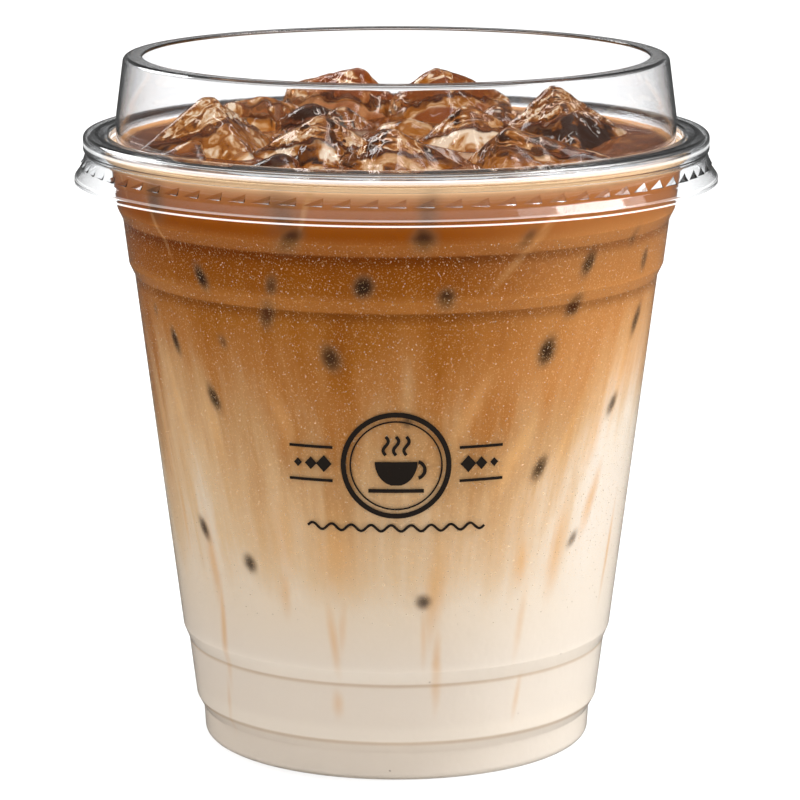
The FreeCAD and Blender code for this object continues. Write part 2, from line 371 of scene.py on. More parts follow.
# ---- meshes ----
def shifted(outline, distance):
    """The open outline moved to its left by distance, with its corners kept concentric."""
    normals = []
    for (r0, z0, _), (r1, z1, _) in zip(outline, outline[1:]):
        length = math.hypot(r1 - r0, z1 - z0)
        normals.append(((z0 - z1) / length, (r1 - r0) / length))
    moved = []
    for index, (r, z, corner) in enumerate(outline):
        before = normals[max(index - 1, 0)]
        after = normals[min(index, len(normals) - 1)]
        spread = 1.0 + before[0] * after[0] + before[1] * after[1]
        left_turn = before[0] * after[1] - before[1] * after[0] > 0.0
        moved.append((
            r + distance * (before[0] + after[0]) / spread,
            z + distance * (before[1] + after[1]) / spread,
            max(corner - distance, 0.0) if left_turn else corner + distance if corner else 0.0,
        ))
    return moved


def add_span(path, end):
    """Runs the path straight on to end, with rows close to both of its ends."""
    start = path[-1]
    length = (end - start).length
    if length < 1e-7:
        return
    stops = {length}
    if length > 4 * GUARD:
        steps = max(1, math.ceil(length / SPAN_STEP))
        stops |= {GUARD, length - GUARD} | {length * i / steps for i in range(1, steps)}
    path.extend(start.lerp(end, stop / length) for stop in sorted(stops))


def sampled(outline):
    """Points along an outline, with an arc at each rounded corner."""
    points = [Vector((r, z)) for r, z, _ in outline]
    path = [points[0]]
    for before, corner, after, (_, _, radius) in zip(points, points[1:], points[2:], outline[1:]):
        back = (before - corner).normalized()
        ahead = (after - corner).normalized()
        half_turn = (math.pi - back.angle(ahead)) / 2
        room = 0.48 * min((before - corner).length, (after - corner).length)
        reach = min(radius * math.tan(half_turn), room)
        if reach < 0.01 * MM:
            add_span(path, corner)
            continue
        radius = reach / math.tan(half_turn)
        centre = corner + (back + ahead).normalized() * (radius / math.cos(half_turn))
        add_span(path, corner + back * reach)
        spoke = path[-1] - centre
        turning = -1.0 if back.x * ahead.y - back.y * ahead.x > 0.0 else 1.0
        steps = max(2, math.ceil(2 * half_turn / ARC_STEP))
        for i in range(1, steps + 1):
            path.append(centre + Matrix.Rotation(turning * 2 * half_turn * i / steps, 2) @ spoke)
    add_span(path, points[-1])
    return path


def on_wall(radius, turn, height):
    """The point at a radius and height, turned from the front towards the right."""
    return radius * math.sin(turn), -radius * math.cos(turn), height


def swept(path, segments, closed):
    """A bmesh swept by a path of (radius, height) points about the Z axis."""
    bm = bmesh.new()
    rows = []
    for radius, height in path:
        if radius < 1e-6:
            rows.append([bm.verts.new((0.0, 0.0, height))] * segments)
        else:
            turns = (2 * math.pi * i / segments for i in range(segments))
            rows.append([bm.verts.new(on_wall(radius, turn, height)) for turn in turns])
    for first, second in zip(rows, rows[1:] + rows[:closed]):
        if first[0] is first[1] and second[0] is second[1]:
            continue
        for i in range(segments):
            bm.faces.new(dict.fromkeys((first[i - 1], first[i], second[i], second[i - 1])))
    return bm


def turned(name, ring, segments):
    """A closed mesh swept by a ring of (radius, height) points about the Z axis."""
    return mesh_of(swept(ring, segments, True), name)


def mesh_of(bm, name, closed=True):
    """The finished mesh; a closed one gets its normals outwards."""
    if closed:
        bmesh.ops.recalc_face_normals(bm, faces=bm.faces)
    mesh = bpy.data.meshes.new(name)
    bm.to_mesh(mesh)
    bm.free()
    return mesh


def pushed_out(mesh, distance):
    """Moves every vertex of the mesh outwards by what distance says for its place."""
    for vertex, out in zip(mesh.vertices, [normal.vector.copy() for normal in mesh.vertex_normals]):
        vertex.co = vertex.co + out * distance(vertex.co)


def shell(name, outline, thickness, segments):
    """A turned wall whose one face is the outline, and whose other is thickness to the left of it."""
    return turned(name, sampled(outline) + sampled(shifted(outline, thickness))[::-1], segments)


def added(name, mesh):
    piece = bpy.data.objects.new(name, mesh)
    bpy.context.scene.collection.objects.link(piece)
    return piece


def dressed(piece, material, slot, *nodes):
    """Gives a finished piece its look, hangs it on the root and hides the CAD nodes that it stands for."""
    piece.data.materials.clear()
    piece.data.materials.append(material)
    piece.data.shade_smooth()
    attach(piece, "root")
    if nodes:
        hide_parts(*nodes)
    return piece


def evaluated(piece, name):
    """The piece's mesh with its modifiers applied, as a plain mesh; the piece itself goes."""
    depsgraph = bpy.context.evaluated_depsgraph_get()
    depsgraph.update()
    mesh = bpy.data.meshes.new_from_object(piece.evaluated_get(depsgraph))
    mesh.name = name
    bpy.data.objects.remove(piece)
    return mesh


def grown_by_nodes(source, name, tree, values):
    """The plain mesh that a geometry node tree makes of a source mesh and its named values."""
    carrier = added(name + "_carrier", source)
    modifier = carrier.modifiers.new("grow", "NODES")
    modifier.node_group = tree
    for item in tree.interface.items_tree:
        if item.name in values:
            modifier[item.identifier] = values[item.name]
    carrier.update_tag()
    return evaluated(carrier, name)


def new_tree(name, **inputs):
    """A geometry node tree, its graph and its named inputs as values."""
    tree = bpy.data.node_groups.new(name, "GeometryNodeTree")
    tree.interface.new_socket("Geometry", in_out="INPUT", socket_type="NodeSocketGeometry")
    for key, kind in inputs.items():
        tree.interface.new_socket(key, in_out="INPUT", socket_type="NodeSocket" + kind)
    tree.interface.new_socket("Geometry", in_out="OUTPUT", socket_type="NodeSocketGeometry")
    graph = Graph(tree)
    entry = graph.node("NodeGroupInput").socket.node
    return tree, graph, {socket.name: Value(graph, socket) for socket in entry.outputs if socket.name}


def ended(tree, graph, instances, material):
    """The tree, ended so that its instances come out as one real mesh in a material."""
    real = graph.node("GeometryNodeRealizeInstances", {"Geometry": instances})
    finished = graph.node("GeometryNodeSetMaterial", {
        "Geometry": real, "Material": bpy.data.materials[material]})
    graph.node("NodeGroupOutput", {0: finished})
    return tree


# ---- cup ----
def cup_outline():
    """The cup's outside from the middle of its base up to the end of the rolled rim."""
    cup = sizes("cup")
    mouth = cup.rim_radius - cup.rim_width
    neck_radius = mouth - cup.seat_ledge
    neck_bottom = cup.height - cup.neck_height
    band_top = neck_bottom - cup.upper_rise
    band_bottom = band_top - cup.band_height
    side_top = band_bottom - cup.upper_rise
    base_band = cup.foot_band + cup.base_rise
    step_bottom = base_band + cup.lower_band
    side_bottom = step_bottom + cup.lower_rise
    neck_top = cup.height - cup.seat_depth - cup.seat_slope
    jumps = cup.foot_flare + cup.base_jump + cup.lower_jump + 2 * cup.upper_jump
    plain = cup.lower_band + (side_top - side_bottom) + cup.band_height + (neck_top - neck_bottom)
    taper = (neck_radius - cup.foot_radius - jumps) / plain

    outline = [
        (0.0, cup.recess, 0.0),
        (cup.recess_radius, cup.recess, cup.step_round),
        (cup.recess_radius + cup.recess_slope, 0.0, cup.step_round),
        (cup.foot_radius, 0.0, cup.foot_round),
    ]
    radius = cup.foot_radius + cup.foot_flare
    outline.append((radius, cup.foot_band, cup.step_round))
    for bottom, top, jump in (
        (base_band, step_bottom, cup.base_jump),
        (side_bottom, side_top, cup.lower_jump),
        (band_bottom, band_top, cup.upper_jump),
        (neck_bottom, neck_top, cup.upper_jump),
    ):
        radius += jump
        outline.append((radius, bottom, cup.step_round))
        radius += taper * (top - bottom)
        outline.append((radius, top, cup.step_round))
    roll = cup.rim_radius - cup.wall
    under_rim = cup.height - cup.wall
    outline += [
        (mouth + cup.wall, cup.height - cup.seat_depth, cup.step_round),
        (mouth + cup.wall, under_rim, cup.rim_round),
        (roll, under_rim, cup.rim_round),
        (roll, cup.height - cup.rim_drop, 0.0),
    ]
    return outline


def side_radius(height):
    """The cup's outside radius at a height."""
    for (r0, z0, _), (r1, z1, _) in zip(cup_outline()[3:], cup_outline()[4:]):
        if z0 <= height <= z1:
            return r0 + (r1 - r0) * (height - z0) / (z1 - z0)
    raise ValueError(f"the cup has no side at {height} m")


class LATTE_OT_cup(Operator):
    """Turn the clear cup with its steps, recessed base and rolled rim"""
    bl_idname = "latte.cup"
    bl_label = "Cup"

    def execute(self, context):
        cup = sizes("cup")
        mesh = shell("cup_shell", cup_outline(), cup.wall, cup.segments)
        dressed(added("cup_shell", mesh), clear_plastic("cup_plastic", cup.plastic), "cup_plastic", "cup")
        return {"FINISHED"}


# ---- lid ----
def lid_radius():
    """Outside of the lid's wall where it stands upright."""
    cup, lid = sizes("cup"), sizes("lid")
    return cup.rim_radius - cup.rim_width - lid.plug_gap - lid.wall - lid.groove_width


def waist():
    """The radius of the waist that grips under the rolled rim."""
    cup, lid = sizes("cup"), sizes("lid")
    return cup.rim_radius + lid.brim_gap + lid.wall - lid.waist_inset


def lid_outline():
    """The lid's outside from the edge of the opening, down the wall and groove, and out to the skirt."""
    cup, lid = sizes("cup"), sizes("lid")
    rim = cup.height
    wall = lid_radius()
    plug = wall + lid.groove_width
    groove_bottom = rim - lid.plug_depth + lid.wall
    brim = waist() + lid.waist_inset
    ledge = waist() + lid.skirt_flare
    return [
        (lid.top_radius - lid.flange, rim + lid.rise, 0.0),
        (lid.top_radius, rim + lid.rise, lid.top_round),
        (wall, rim + lid.turn_height, lid.turn_round),
        (wall, groove_bottom, lid.groove_round),
        (plug, groove_bottom, lid.groove_round),
        (plug, rim + lid.wall, lid.groove_round),
        (brim, rim + lid.wall, lid.brim_round),
        (brim, rim - lid.brim_drop, lid.skirt_round),
        (waist(), rim - lid.waist_drop, lid.skirt_round),
        (ledge, rim - lid.ledge_drop, lid.skirt_round),
        (ledge + lid.lip_flare, rim - lid.lip_drop, lid.skirt_round),
        (ledge + lid.lip_flare, rim - lid.skirt_drop, 0.0),
    ]


def teeth_tree():
    """Stands copies of one tooth round a circle."""
    tree, graph, given = new_tree("teeth", Teeth="Int", Radius="Float", Height="Float")
    circle = graph.node("GeometryNodeMeshCircle", {
        "Vertices": given["Teeth"], "Radius": given["Radius"]})
    index = graph.node("GeometryNodeInputIndex")
    turn = graph.node("ShaderNodeCombineXYZ", {"Z": index * (2 * math.pi) / given["Teeth"]})
    standing = graph.node("GeometryNodeInstanceOnPoints", {
        "Points": circle, "Instance": given["Geometry"], "Rotation": turn})
    up = graph.node("ShaderNodeCombineXYZ", {"Z": given["Height"]})
    raised = graph.node("GeometryNodeTransform", {"Geometry": standing, "Translation": up})
    return ended(tree, graph, raised, "lid_plastic")


class LATTE_OT_lid(Operator):
    """Turn the clear open-topped lid and stand the lock teeth round its skirt"""
    bl_idname = "latte.lid"
    bl_label = "Lid"

    def execute(self, context):
        cup, lid = sizes("cup"), sizes("lid")
        # Painted highlights: glowing bands at the skirt's edge, its lip and the brim's rounded corner.
        edge_highlight = (cup.height - lid.skirt_drop + 0.15 * MM, 0.16 * MM, 0.55)
        lip_highlight = (cup.height - lid.lip_drop, 0.12 * MM, 0.3)
        brim_highlight = (cup.height - 1.0 * MM, 0.40 * MM, 0.3)
        plastic = clear_plastic("lid_plastic", cup.plastic, (edge_highlight, lip_highlight, brim_highlight))
        mesh = shell("lid_shell", lid_outline(), -lid.wall, cup.segments)
        dressed(added("lid_shell", mesh), plastic, "lid_plastic", "lid")

        slope = lid.skirt_flare / (lid.ledge_drop - lid.waist_drop)
        foot = cup.height - lid.ledge_drop + TOOTH_LIFT
        base = waist() + slope * (cup.height - lid.waist_drop - foot)
        half = lid.tooth_width / 2
        bm = bmesh.new()
        corners = [bm.verts.new(at) for at in (
            (-SUNK, -half, 0.0),
            (-SUNK, half, 0.0),
            (-SUNK - slope * lid.tooth_height, half, lid.tooth_height),
            (lid.tooth_depth, half, 0.0),
        )]
        for three in combinations(corners, 3):
            bm.faces.new(three)
        teeth = grown_by_nodes(mesh_of(bm, "tooth"), "lock_teeth", teeth_tree(), {
            "Teeth": lid.teeth, "Radius": base, "Height": foot})
        piece = dressed(added("lock_teeth", teeth), plastic, "lid_plastic")
        piece.data.shade_flat()
        return {"FINISHED"}


# ---- drink ----
# Ice that touches the wall shows as a soft dark spot of painted shade, the unlit depth of the drink seen
# through the ice:
# azimuth in degrees from the front towards the right, height, half width, half height and slant in
# millimetres, and how dark it is.
ICE_SHADE_SPOTS = (
    (-43.5, 81, 1.8, 3, -0.35, 0.95), (-26, 81, 1.6, 2.7, 0.2, 0.7), (-28, 76.5, 2.1, 3.8, 0.2, 0.75),
    (-7, 81.5, 2.3, 2.6, 0, 1), (10.5, 79.5, 2.2, 2.6, 0, 0.95), (43, 83.5, 2.1, 3.2, 0.4, 0.85),
    (40.5, 77, 2.2, 2.8, 0.3, 0.95), (56.5, 86.5, 1.8, 2.4, 0.2, 0.6), (63.5, 82, 1.8, 2.9, 0.2, 0.7),
    (65.5, 72, 1.8, 3.6, 0.4, 0.8), (34.5, 70, 2.4, 3.4, 0.3, 0.95), (-57, 69.5, 1.7, 3, -0.4, 0.9),
    (-40.5, 71, 1.4, 1.7, -0.2, 0.6), (-13.5, 70, 2.3, 3.2, -0.2, 0.85), (-44.5, 61.5, 1.8, 3, -0.4, 0.9),
    (2.5, 60, 1.4, 1.6, 0, 0.65), (58.5, 59, 1.7, 2.6, 0.4, 0.75), (35, 51, 1.9, 3, 0.4, 0.85),
    (-65.5, 73.5, 1.2, 1.7, 0, 0.5), (-54, 39, 1.7, 2.6, -0.4, 0.85), (-38.5, 35, 1.8, 2.2, -0.2, 0.85),
    (7, 30.5, 1.8, 1.8, 0, 0.8), (48, 38, 1.4, 2, 0.4, 0.65), (-22, 92, 4.8, 6, -0.1, 0.5),
    (-21, 88.5, 3.2, 3.2, 0.5, 0.85), (6, 93, 2.6, 5.5, 0, 0.5), (5.5, 89, 2.8, 3, 0, 0.85),
    (26, 88.5, 1.9, 2.6, 0.6, 0.65), (-55, 92, 3.6, 5, 0, 0.6),
    (160, 80, 2.2, 3, 0, 0.9), (132, 71, 2, 2.6, 0.3, 0.8), (105, 82, 2, 2.4, 0, 0.8),
    (190, 66, 1.8, 2.8, 0.2, 0.8), (215, 78, 2, 2.4, 0, 0.9), (245, 70, 1.8, 2.6, -0.3, 0.8),
    (170, 50, 1.6, 2.2, 0, 0.7), (228, 54, 1.5, 2.2, 0.2, 0.7), (120, 45, 1.4, 1.8, 0, 0.7),
)
# Caramel that runs down into the milk: azimuth, height of its middle, half width, half length, slant and
# strength.
STREAKS = (
    (-52.5, 34, 2, 12, -0.1, 0.75), (-51, 23, 1.1, 14, 0.05, 0.75), (-54, 9, 0.9, 7, 0.1, 0.4),
    (-28, 40, 2.6, 9, -0.05, 0.55), (-28.5, 31, 1.3, 6, 0, 0.6), (-14, 39, 5, 10, 0, 0.75),
    (-16, 24, 1.2, 9, -0.1, 0.65), (-13.5, 26, 1, 7, 0.1, 0.4), (-16, 13, 1.5, 3.4, 0, 0.55),
    (10, 32, 2.3, 12, 0.12, 0.75), (10.5, 19, 1.1, 10, 0, 0.7), (7, 25, 0.9, 8, 0, 0.45),
    (31.5, 36, 1.7, 6, 0, 0.85), (33, 26, 1.1, 9, 0.1, 0.4), (34.5, 13, 0.9, 6, 0.1, 0.45),
    (43, 37, 2.8, 11, 0.1, 0.7), (53.5, 44, 2, 8, 0.3, 0.8), (67, 34, 1, 12, 0.1, 0.75),
    (-64, 40, 1, 9, -0.1, 0.7), (-70, 55, 1.2, 12, -0.1, 0.6), (52, 55, 2.4, 10, 0.3, 0.5),
    (110, 30, 2, 14, 0.1, 0.7), (140, 34, 1.4, 16, 0, 0.7), (175, 28, 2.4, 15, -0.1, 0.7),
    (205, 33, 1.4, 14, 0, 0.7), (240, 30, 2, 13, 0.1, 0.7), (262, 24, 1.2, 15, 0.1, 0.6),
)
# Pale milk drawn up between the coffee, in the same form.
WISPS = (
    (-71, 95, 0.9, 6, -0.6, 0.8), (-56, 88, 0.8, 7, -0.5, 0.7), (-17, 94, 0.9, 6, 0.35, 0.8),
    (26, 86, 1.6, 8, 0.9, 0.5), (31, 91, 1.2, 4, 0.9, 0.5), (-26, 60, 2.4, 9, -0.35, 0.6),
    (17, 62, 2.6, 9, 0.5, 0.6), (27, 53, 2.6, 9, 0.5, 0.8), (43, 56, 1.8, 9, 0.4, 0.6),
    (-46, 57, 2.2, 10, -0.3, 0.5), (-60, 60, 1.6, 10, -0.2, 0.5), (60, 62, 1.6, 12, 0.2, 0.6),
)


DRAWN_RADIUS = 0.040  # the streaks are noise on a wall of this radius
DRAWN_OUT = 0.13  # and its height counts for this much, which draws them out
STREAK_SHIFT, BROAD_SHIFT, CLOUD_SHIFT = 46.0, 34.0, 8.0  # millimetres that noise shifts the colours by
MILK_LEFT, MILK_RIGHT, MILK_BEHIND = 10.0, 23.0, -12.0  # and how much higher the milk stands there


def round_the_wall(paint, place):
    """(azimuth in degrees from the front, height and radius in millimetres) on a turned piece."""
    x, y, z = paint.parts(paint.scaled(place, 1 / MM))
    azimuth = paint.math("ARCTAN2", x, y * -1.0) * (180 / math.pi)
    return azimuth, z, paint.math("SQRT", x * x + y * y)


def blots(paint, azimuth, height, radius, marks, warp, soft=0.0):
    """The strongest of a list of soft slanted ellipses on the wall, 0 away from all of them."""
    strongest = 0.0
    for middle, up, half_width, half_height, slant, strength in marks:
        across = azimuth - middle
        if abs(middle) > 90:
            across = paint.math("WRAP", across, 180.0, -180.0)
        across = across * radius * (math.pi / 180)
        rise = height - up
        sideways = (across - rise * slant) / half_width + warp
        upwards = rise / half_height
        spread = paint.math("SQRT", sideways * sideways + upwards * upwards)
        here = paint.step(spread, 1.0 + soft, soft * 0.3, 0.0, strength)
        strongest = paint.math("MAXIMUM", here, strongest)
    return strongest


def step_heights():
    """(bottom, top) of the slope of every step, in millimetres."""
    sides = [z / MM for _, z, _ in cup_outline()]
    return [(sides[i], sides[i + 1]) for i in (4, 6, 8, 10)]


def layered(paint, place, azimuth, height):
    """(colour, how streaky and how cloudy it is) of milk below coffee, drawn into each other in between, with
    painted light on the right side where the key lamp falls.
    """
    look = sizes("drink")
    lean = azimuth * (math.pi / 180)
    lean = lean - paint.math("SINE", lean) * (height - 20.0) * 0.005
    drawn = paint.node("ShaderNodeCombineXYZ", {
        0: paint.math("SINE", lean) * DRAWN_RADIUS, 1: paint.math("COSINE", lean) * DRAWN_RADIUS,
        2: height * (DRAWN_OUT * MM)})
    streaky = paint.noise(drawn, 210.0, 4.0, 0.6) - 0.5
    broad = paint.noise(drawn, 85.0, 2.0) - 0.5
    cloudy = paint.noise(place, 90.0, 4.0, 0.6) - 0.5

    middle = paint.window(height, 22.0, 47.0, 64.0, 88.0)
    left = paint.step(azimuth, -14.0, -62.0) * MILK_LEFT
    right = paint.step(azimuth, 12.0, 78.0) * MILK_RIGHT
    behind = paint.step(paint.math("ABSOLUTE", azimuth), 90.0, 150.0) * MILK_BEHIND
    stirred = streaky * STREAK_SHIFT + broad * BROAD_SHIFT + cloudy * CLOUD_SHIFT
    level = height - (left + right + behind) * middle + stirred * middle
    tones = paint.ramp(level / 100.0, (
        (0.0, linear(226, 214, 200)), (0.19, look.milk), (0.29, linear(221, 205, 184)),
        (0.355, linear(214, 188, 154)), (0.45, look.blend), (0.54, linear(190, 148, 100)),
        (0.635, linear(174, 117, 60)), (0.73, look.coffee), (0.82, linear(145, 81, 13)),
        (0.86, look.deep), (0.90, linear(152, 80, 8)), (0.925, linear(176, 103, 40)),
        (0.945, linear(196, 128, 70)), (0.965, linear(254, 212, 164)), (1.0, linear(255, 222, 178))))
    # Painted light: the milk is whiter on the right and the coffee lighter up at the right, where the key
    # lamp falls.
    painted_light_right = paint.step(azimuth, -5.0, 60.0) * paint.step(level, 50.0, 25.0)
    tones = paint.laid(tones, painted_light_right * 0.6, 228, 220, 210)
    lit = paint.step(azimuth, 4.0, 46.0) * paint.window(height, 56.0, 66.0, 88.0, 95.0)
    return paint.laid(tones, lit * 0.4, 212, 158, 100), streaky, cloudy


def marked(paint, place, wall, colour, streaky, cloudy):
    """The colour with its streaks and wisps, painted shade where ice touches the wall, a painted highlight on
    every step with a painted shadow under it, painted glints of the condensation, and specks.
    """
    height = wall[1]
    warp = streaky * 0.9 + cloudy * 0.7
    colour = paint.mix(blots(paint, *wall, STREAKS, warp) * 0.8, colour, sizes("drink").caramel)
    colour = paint.laid(colour, blots(paint, *wall, WISPS, warp) * 0.6, 226, 178, 118)
    # Painted shade where ice touches the wall: a greyish rim round a dark core.
    ice_shade = blots(paint, *wall, ICE_SHADE_SPOTS, cloudy * 1.2, 0.25)
    colour = paint.laid(colour, paint.step(ice_shade, 0.0, 0.6) * 0.5, 120, 92, 66)
    colour = paint.laid(colour, paint.step(ice_shade, 0.32, 1.0) * 0.93, 38, 24, 14)
    # Painted light on the steps: a painted highlight on each slope and a painted shadow under it, softer and
    # paler down in the milk.
    base, *others = step_heights()
    for low, high in ((base[1] - 0.2, base[1] + 1.6), *others):
        light = paint.window(height, low - 0.2, low + 0.5, high - 0.4, high + 1.6)
        if low > 50.0:
            step_shadow = paint.window(height, low - 2.2, low - 0.3, low, low + 0.3)
            colour = paint.laid(colour, step_shadow * 0.4, 84, 34, 0)
            colour = paint.laid(colour, light * 0.30, 200, 138, 76)
        else:
            step_shadow = paint.window(height, low - 0.7, low - 0.1, low, low + 0.35)
            colour = paint.laid(colour, step_shadow * 0.42, 178, 142, 98)
            colour = paint.laid(colour, light * 0.35, 238, 228, 214)
    # Painted glints: fine light orange dots where light is focused through the condensation onto the drink.
    drop_glints = paint.window(height, 24.0, 36.0, 86.0, 90.0)
    drop_glints = drop_glints * paint.step(paint.noise(place, 3600.0, 1.0), 0.56, 0.74)
    colour = paint.laid(colour, drop_glints * 0.3, 246, 200, 140)
    specks = paint.step(paint.noise(place, 900.0, 1.0), 0.80, 0.84) * paint.step(height, 40.0, 20.0)
    return paint.laid(colour, specks * 0.6, 110, 84, 66)


def drink_paint():
    """Milk at the bottom, coffee at the top, with a painted glow of light and reflections in the hollows
    where ice stands in it.
    """
    look, cup = sizes("drink"), sizes("cup")
    paint = Paint("drink")
    place = paint.place()
    azimuth, height, radius = wall = round_the_wall(paint, place)
    colour = marked(paint, place, wall, *layered(paint, place, azimuth, height))
    surface = (cup.height - look.fill_gap) / MM
    over = paint.step(height, surface - 1.6, surface - 0.2) * paint.step(radius, 45.6, 44.9)
    # Painted highlights on the ripples of the surface.
    ripple_highlights = paint.step(paint.noise(place, 150.0, 3.0), 0.50, 0.70)
    calm = paint.laid(look.top, ripple_highlights * 0.4, 150, 96, 50)
    calm = paint.laid(calm, paint.step(radius, 43.0, 44.8) * 0.85, 205, 150, 98)
    colour = paint.mix(over, colour, calm)
    # Painted light: the hollows under the ice glow in dark amber to pale tones, standing in for light and
    # reflections seen through the ice.
    under_ice_glow = paint.ramp(paint.noise(place, 130.0, 3.0, 0.6), (
        (0.40, linear(58, 30, 10)), (0.47, linear(138, 78, 22)), (0.53, linear(172, 108, 42)),
        (0.57, linear(214, 172, 128)), (0.63, linear(246, 228, 208))))
    foot, slope = cup.foot_radius / MM, (cup.rim_radius - cup.rim_width - cup.foot_radius) / cup.height
    depth = height * slope + foot - radius
    inside = paint.step(depth, 1.8, 3.0) * paint.step(height, surface - 0.2, surface - 1.0)
    return paint.finish(paint.shader(
        Base_Color=paint.mix(inside, colour, paint.mix(0.7, under_ice_glow, BLACK)), Roughness=0.5,
        Specular_IOR_Level=0.0, Normal=paint.bump(paint.noise(place, 330.0, 2.0), 0.5, 0.25 * MM),
        Coat_Weight=over, Coat_Roughness=0.04, Coat_IOR=WATER_IOR,
        Emission_Color=paint.mix(inside, BLACK, under_ice_glow), Emission_Strength=0.85))


CLIMB_ROWS, SURFACE_ROWS = 14, 24  # rows of faces up the wall and out from the middle of the surface
UNDER_PLUG = 0.8 * MM  # corner radius of the drink under the lid's plug
DENTS = ((0.22, 0.55), (0.6, 0.45))  # of the ice: how often per millimetre, and the share of each kind


def drink_ring():
    """The outline of the drink, just into the walls that hold it, up to its surface and its middle."""
    cup, lid, drink = sizes("cup"), sizes("lid"), sizes("drink")
    plug_bottom = cup.height - lid.plug_depth
    side = takewhile(lambda point: point[1] < plug_bottom, shifted(cup_outline(), cup.wall - BITE))
    wall = lid_radius() - lid.wall + BITE
    level = cup.height - drink.fill_gap
    mouth = cup.rim_radius - cup.rim_width + BITE
    under = plug_bottom + BITE
    outline = [*side, (mouth, under, 0.0), (wall, under, UNDER_PLUG), (wall, level + drink.meniscus, 0.0)]
    ring = sampled(outline)
    for i in range(1, CLIMB_ROWS + 1):
        out = i / CLIMB_ROWS
        climb = drink.meniscus * (1.0 - out) ** 2
        ring.append(Vector((wall - drink.meniscus_width * out, level + climb)))
    edge = ring[-1].x
    ring += [Vector((edge * (1.0 - i / SURFACE_ROWS), level)) for i in range(1, SURFACE_ROWS + 1)]
    return ring


def welded(node):
    """A bmesh of a CAD node, its loose triangles joined."""
    bm = bmesh.new()
    bm.from_mesh(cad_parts[node].data)
    bmesh.ops.remove_doubles(bm, verts=bm.verts, dist=WELD)
    bmesh.ops.recalc_face_normals(bm, faces=bm.faces)
    return bm


def ice_nodes():
    return sorted(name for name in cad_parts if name.startswith("ice_"))


def melted(node, name, grain):
    """The wet, dented mesh of one block of ice, with faces of the size of grain."""
    look = sizes("ice")
    level = (sizes("cup").height - sizes("drink").fill_gap) / MM
    source = added("melting", mesh_of(welded(node), "melting"))
    remesh = source.modifiers.new("remesh", "REMESH")
    remesh.mode, remesh.voxel_size = "VOXEL", grain
    soften = source.modifiers.new("soften", "SMOOTH")
    soften.factor, soften.iterations = 0.5, 2
    mesh = evaluated(source, name)

    def growth(place):
        """The swell, and dents that grow from 1 mm below the drink's surface to 0.5 mm above it."""
        at = place / MM
        dent = sum(noise.noise(at * often) * part for often, part in DENTS)
        clear_of_drink = min(1.0, max(0.0, (at.z - level + 1.0) / 1.5))
        return look.swell + look.lumps * dent * clear_of_drink

    pushed_out(mesh, growth)
    return mesh


class LATTE_OT_drink(Operator):
    """Fill the cup with layered milk and coffee, hollowed where ice stands in it"""
    bl_idname = "latte.drink"
    bl_label = "Drink"

    def execute(self, context):
        cup, ice = sizes("cup"), sizes("ice")
        drink = added("drink", turned("drink", drink_ring(), cup.segments))
        hollows = bmesh.new()
        for node in ice_nodes():
            part = melted(node, "hollow", ice.hollow_grain)
            pushed_out(part, lambda place: -ice.inset)
            hollows.from_mesh(part)
            bpy.data.meshes.remove(part)
        cutter = added("hollows", mesh_of(hollows, "hollows"))
        whole = len(drink.data.polygons)
        cut = drink.modifiers.new("cut", "BOOLEAN")
        cut.operation, cut.solver, cut.object = "DIFFERENCE", "MANIFOLD", cutter
        mesh = evaluated(drink, "drink")
        bpy.data.objects.remove(cutter)
        if len(mesh.polygons) < whole:
            raise RuntimeError("the ice could not be cut out of the drink")
        piece = added("drink", mesh)
        dressed(piece, drink_paint(), "coffee", "milk_layer", "blend_layer", "coffee_layer")
        return {"FINISHED"}


# ---- ice ----
class LATTE_OT_ice(Operator):
    """Melt every block of ice into a wet, dented piece"""
    bl_idname = "latte.ice"
    bl_label = "Ice"

    def execute(self, context):
        paint = Paint("ice")
        place = paint.place()
        dents = paint.noise(place, 210.0, 2.0) + paint.noise(place, 800.0, 1.0) * 0.12
        level = sizes("cup").height - sizes("drink").fill_gap
        # Painted highlights: thin wiggly lines glow white on the ice above the drink, where its wet wrinkles
        # would catch light.
        wrinkles = paint.math("ABSOLUTE", paint.noise(place, 420.0, 1.5) - 0.5)
        patches = paint.step(paint.noise(place, 170.0, 1.0), 0.52, 0.58)
        above = paint.step(paint.parts(place)[2], level + 0.4 * MM, level + 1.5 * MM)
        wrinkle_glints = paint.step(wrinkles, 0.016, 0.006) * patches * above
        material = paint.finish_clear(
            Base_Color=(0.97, 0.89, 0.76), Roughness=0.01, IOR=ICE_IOR, Transmission_Weight=1.0,
            Normal=paint.bump(dents, 0.8, 0.40 * MM), Emission_Strength=0.7,
            Emission_Color=paint.mix(wrinkle_glints, BLACK, (1.0, 0.93, 0.86)))
        grain = sizes("ice").grain
        for node in ice_nodes():
            dressed(added("clear_" + node, melted(node, "clear_" + node, grain)), material, "ice", node)
        return {"FINISHED"}


# ---- condensation ----
# Painted glint: the drops are partly diffuse in this light orange, which stands in for light focused through
# them onto the drink.
DROP_GLINT_TINT = (0.95, 0.78, 0.56)
SPARE = 1.25  # drops laid out for each one meant to be left where they are thinned
THINNING = 25.0 * MM  # height over which they thin out at the bottom
CROWDED_SMALL = 2.5  # a higher power makes more of the drops small
FLATNESS = 0.55  # height of a drop to its radius


